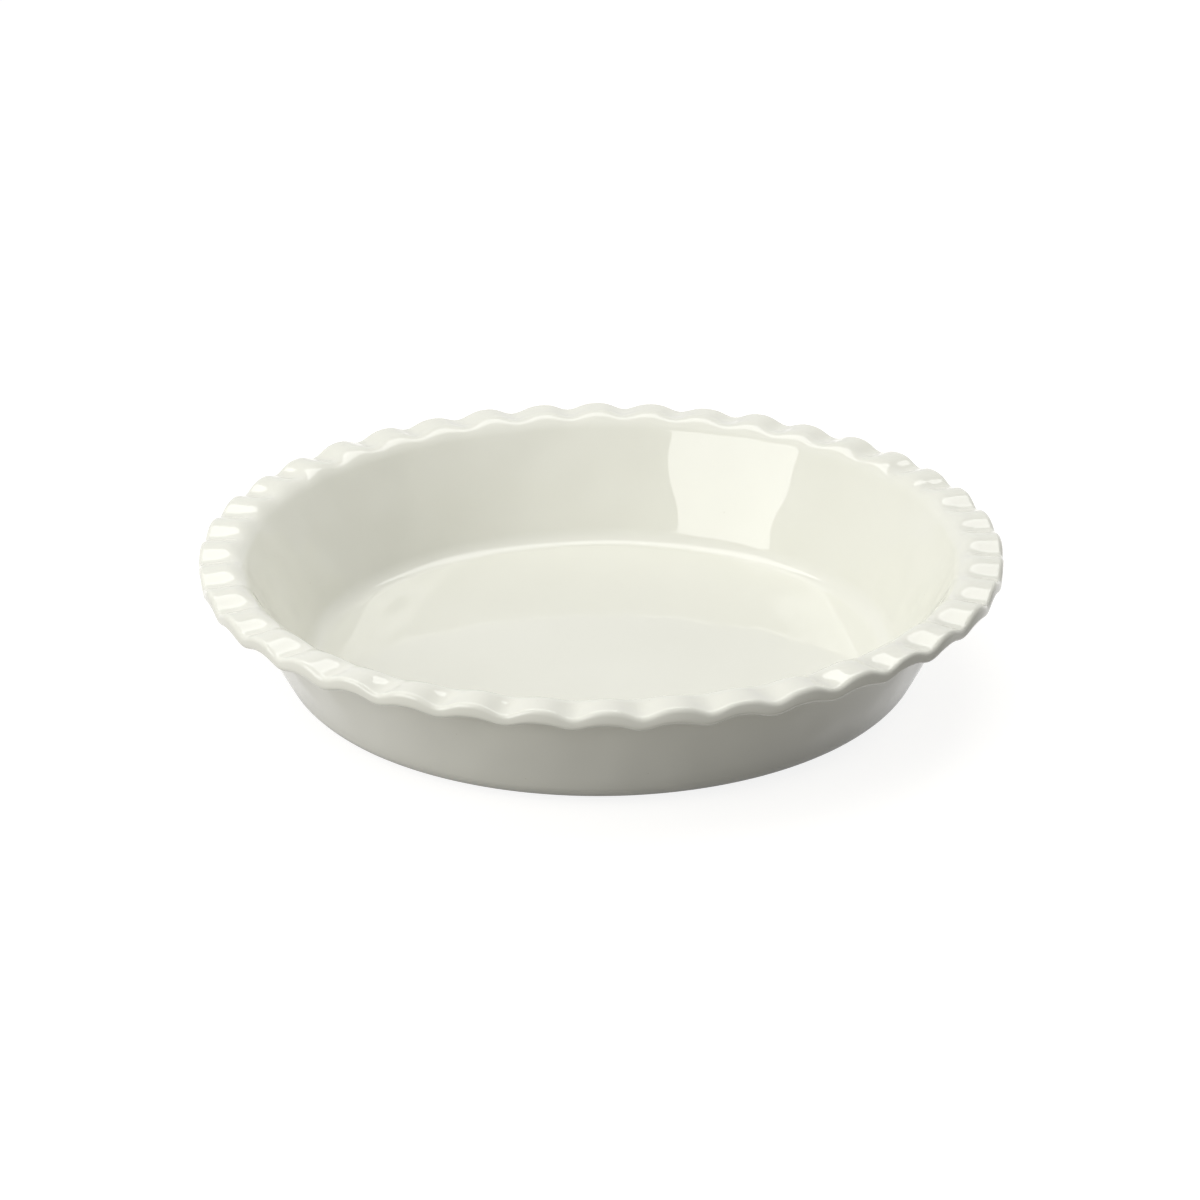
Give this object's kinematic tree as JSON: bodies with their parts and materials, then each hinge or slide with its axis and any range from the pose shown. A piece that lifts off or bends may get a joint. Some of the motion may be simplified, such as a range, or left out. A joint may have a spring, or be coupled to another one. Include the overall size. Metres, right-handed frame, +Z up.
{
  "type": "tart dish",
  "caption": "Round glazed stoneware tart dish with a rolled-out fluted rim, slanted wall, flat floor and unglazed foot ring, for baking and serving.",
  "frame": {"origin": "centre of the plane that the foot ring stands on", "axes": "+Z up along the dish's axis, +X through the crest of a flute"},
  "size_m": [0.32, 0.32, 0.056],
  "materials": {
    "bare_clay": "matte",
    "glaze": "gloss"
  },
  "bodies": {
    "root": {"stoneware_body": "bare_clay", "glaze_coat": "glaze", "underside_glaze": "glaze"}
  },
  "joints": []
}
